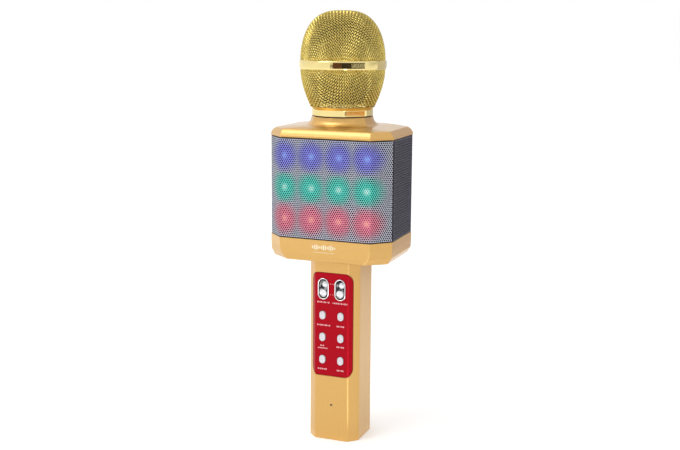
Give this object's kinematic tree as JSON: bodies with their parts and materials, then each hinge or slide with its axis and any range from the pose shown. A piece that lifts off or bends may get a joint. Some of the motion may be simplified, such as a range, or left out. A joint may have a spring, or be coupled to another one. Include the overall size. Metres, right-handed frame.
{
  "type": "karaoke microphone",
  "caption": "Handheld karaoke microphone with a woven-wire head, a perforated speaker box with coloured lamps, and a square handle with keys and rockers.",
  "frame": {"origin": "centre of the handle's flat end, on the surface that the microphone stands on", "axes": "+Z along the microphone towards the head, -Y out of the control side, +X to the right seen from the control side"},
  "size_m": [0.0788, 0.059, 0.2653],
  "materials": {
    "shell": "satin metallic gold paint",
    "plate": "satin metallic red",
    "chrome_trim": "plated",
    "keys": "smooth white",
    "front_sheet": "perforated, satin",
    "rear_sheet": "perforated, dark grey",
    "mesh": "woven wire, gold plated",
    "plated_ring": "pale gold plated",
    "foam": "open-cell foam",
    "black_plastic": "moulded",
    "rubber_black": "soft",
    "steel_parts": "bright zinc",
    "magnet": "sintered ferrite",
    "board": "circuit board",
    "lamp": "clear moulded domes",
    "smoked": "smoked translucent sheet",
    "battery": "shrink sleeve",
    "wire_jacket": "soft jacket",
    "cone": "pressed pulp"
  },
  "bodies": {
    "housing": {"front_shell": "shell", "rear_shell": "shell", "end_plate": "black_plastic", "control_plate": "plate", "rocker_bezels": "chrome_trim", "rocker_cradle": "black_plastic", "key_board": "board", "tact_switches": "black_plastic", "status_lens": "lamp", "battery_cell": "battery", "battery_cradle": "black_plastic", "battery_leads": "wire_jacket", "port_board": "board", "charge_socket": "steel_parts", "audio_socket": "black_plastic", "card_socket": "steel_parts", "handle_screws": "steel_parts", "board_screws": "steel_parts", "base_shell": "shell", "chassis": "black_plastic", "front_grille": "front_sheet", "rear_grille": "rear_sheet", "led_board": "board", "led_lamps": "lamp", "light_diffuser": "smoked", "main_board": "board", "main_board_parts": "black_plastic", "speaker_basket_left": "steel_parts", "speaker_basket_right": "steel_parts", "speaker_magnet_left": "magnet", "speaker_magnet_right": "magnet", "speaker_surround_left": "rubber_black", "speaker_surround_right": "rubber_black", "speaker_screws": "steel_parts", "handle_leads": "wire_jacket", "speaker_leads": "wire_jacket", "top_cap": "shell", "case_screws": "steel_parts", "capsule_post": "black_plastic", "shock_mount": "rubber_black", "mic_capsule": "steel_parts", "capsule_leads": "wire_jacket"},
    "left_rocker": {"rocker_left": "chrome_trim"},
    "right_rocker": {"rocker_right": "chrome_trim"},
    "top_left_key": {"key_top_left": "keys"},
    "top_right_key": {"key_top_right": "keys"},
    "middle_left_key": {"key_middle_left": "keys"},
    "middle_right_key": {"key_middle_right": "keys"},
    "bottom_left_key": {"key_bottom_left": "keys"},
    "bottom_right_key": {"key_bottom_right": "keys"},
    "left_cone": {"speaker_cone_left": "cone"},
    "right_cone": {"speaker_cone_right": "cone"},
    "washer": {"slip_washer": "rubber_black"},
    "head": {"head_collar": "plated_ring", "mesh_bowl": "mesh", "head_band": "plated_ring", "mesh_dome": "mesh", "foam_liner": "foam"}
  },
  "joints": [
    {"name": "left_rocker_tilt", "type": "hinge", "parent": "housing", "child": "left_rocker", "pos_m": [-0.0055, -0.0132, 0.0967], "axis": [1, 0, 0], "range_deg": [-4, 4], "stiffness_Nm_per_rad": 0.05},
    {"name": "right_rocker_tilt", "type": "hinge", "parent": "housing", "child": "right_rocker", "pos_m": [0.0055, -0.0132, 0.0967], "axis": [1, 0, 0], "range_deg": [-4, 4], "stiffness_Nm_per_rad": 0.05},
    {"name": "top_left_press", "type": "slide", "parent": "housing", "child": "top_left_key", "axis": [0, 1, 0], "range_m": [0, 0.0005], "stiffness_N_per_m": 300},
    {"name": "top_right_press", "type": "slide", "parent": "housing", "child": "top_right_key", "axis": [0, 1, 0], "range_m": [0, 0.0005], "stiffness_N_per_m": 300},
    {"name": "middle_left_press", "type": "slide", "parent": "housing", "child": "middle_left_key", "axis": [0, 1, 0], "range_m": [0, 0.0005], "stiffness_N_per_m": 300},
    {"name": "middle_right_press", "type": "slide", "parent": "housing", "child": "middle_right_key", "axis": [0, 1, 0], "range_m": [0, 0.0005], "stiffness_N_per_m": 300},
    {"name": "bottom_left_press", "type": "slide", "parent": "housing", "child": "bottom_left_key", "axis": [0, 1, 0], "range_m": [0, 0.0005], "stiffness_N_per_m": 300},
    {"name": "bottom_right_press", "type": "slide", "parent": "housing", "child": "bottom_right_key", "axis": [0, 1, 0], "range_m": [0, 0.0005], "stiffness_N_per_m": 300},
    {"name": "left_cone_stroke", "type": "slide", "parent": "housing", "child": "left_cone", "axis": [0, 1, 0], "range_m": [-0.0008, 0.0008], "stiffness_N_per_m": 1500, "deforming": ["speaker_surround_left"]},
    {"name": "right_cone_stroke", "type": "slide", "parent": "housing", "child": "right_cone", "axis": [0, 1, 0], "range_m": [-0.0008, 0.0008], "stiffness_N_per_m": 1500, "deforming": ["speaker_surround_right"]},
    {"name": "head_rise", "type": "slide", "parent": "housing", "child": "washer", "axis": [0, 0, 1], "range_m": [0, 0.006]},
    {"name": "head_unscrew", "type": "hinge", "parent": "washer", "child": "head", "pos_m": [0, 0, 0.2025], "axis": [0, 0, 1], "range_deg": [0, 1080]}
  ],
  "couplings": [
    {"joint": "head_rise", "follows": "head_unscrew", "m_per_rad": 0.00031831}
  ]
}
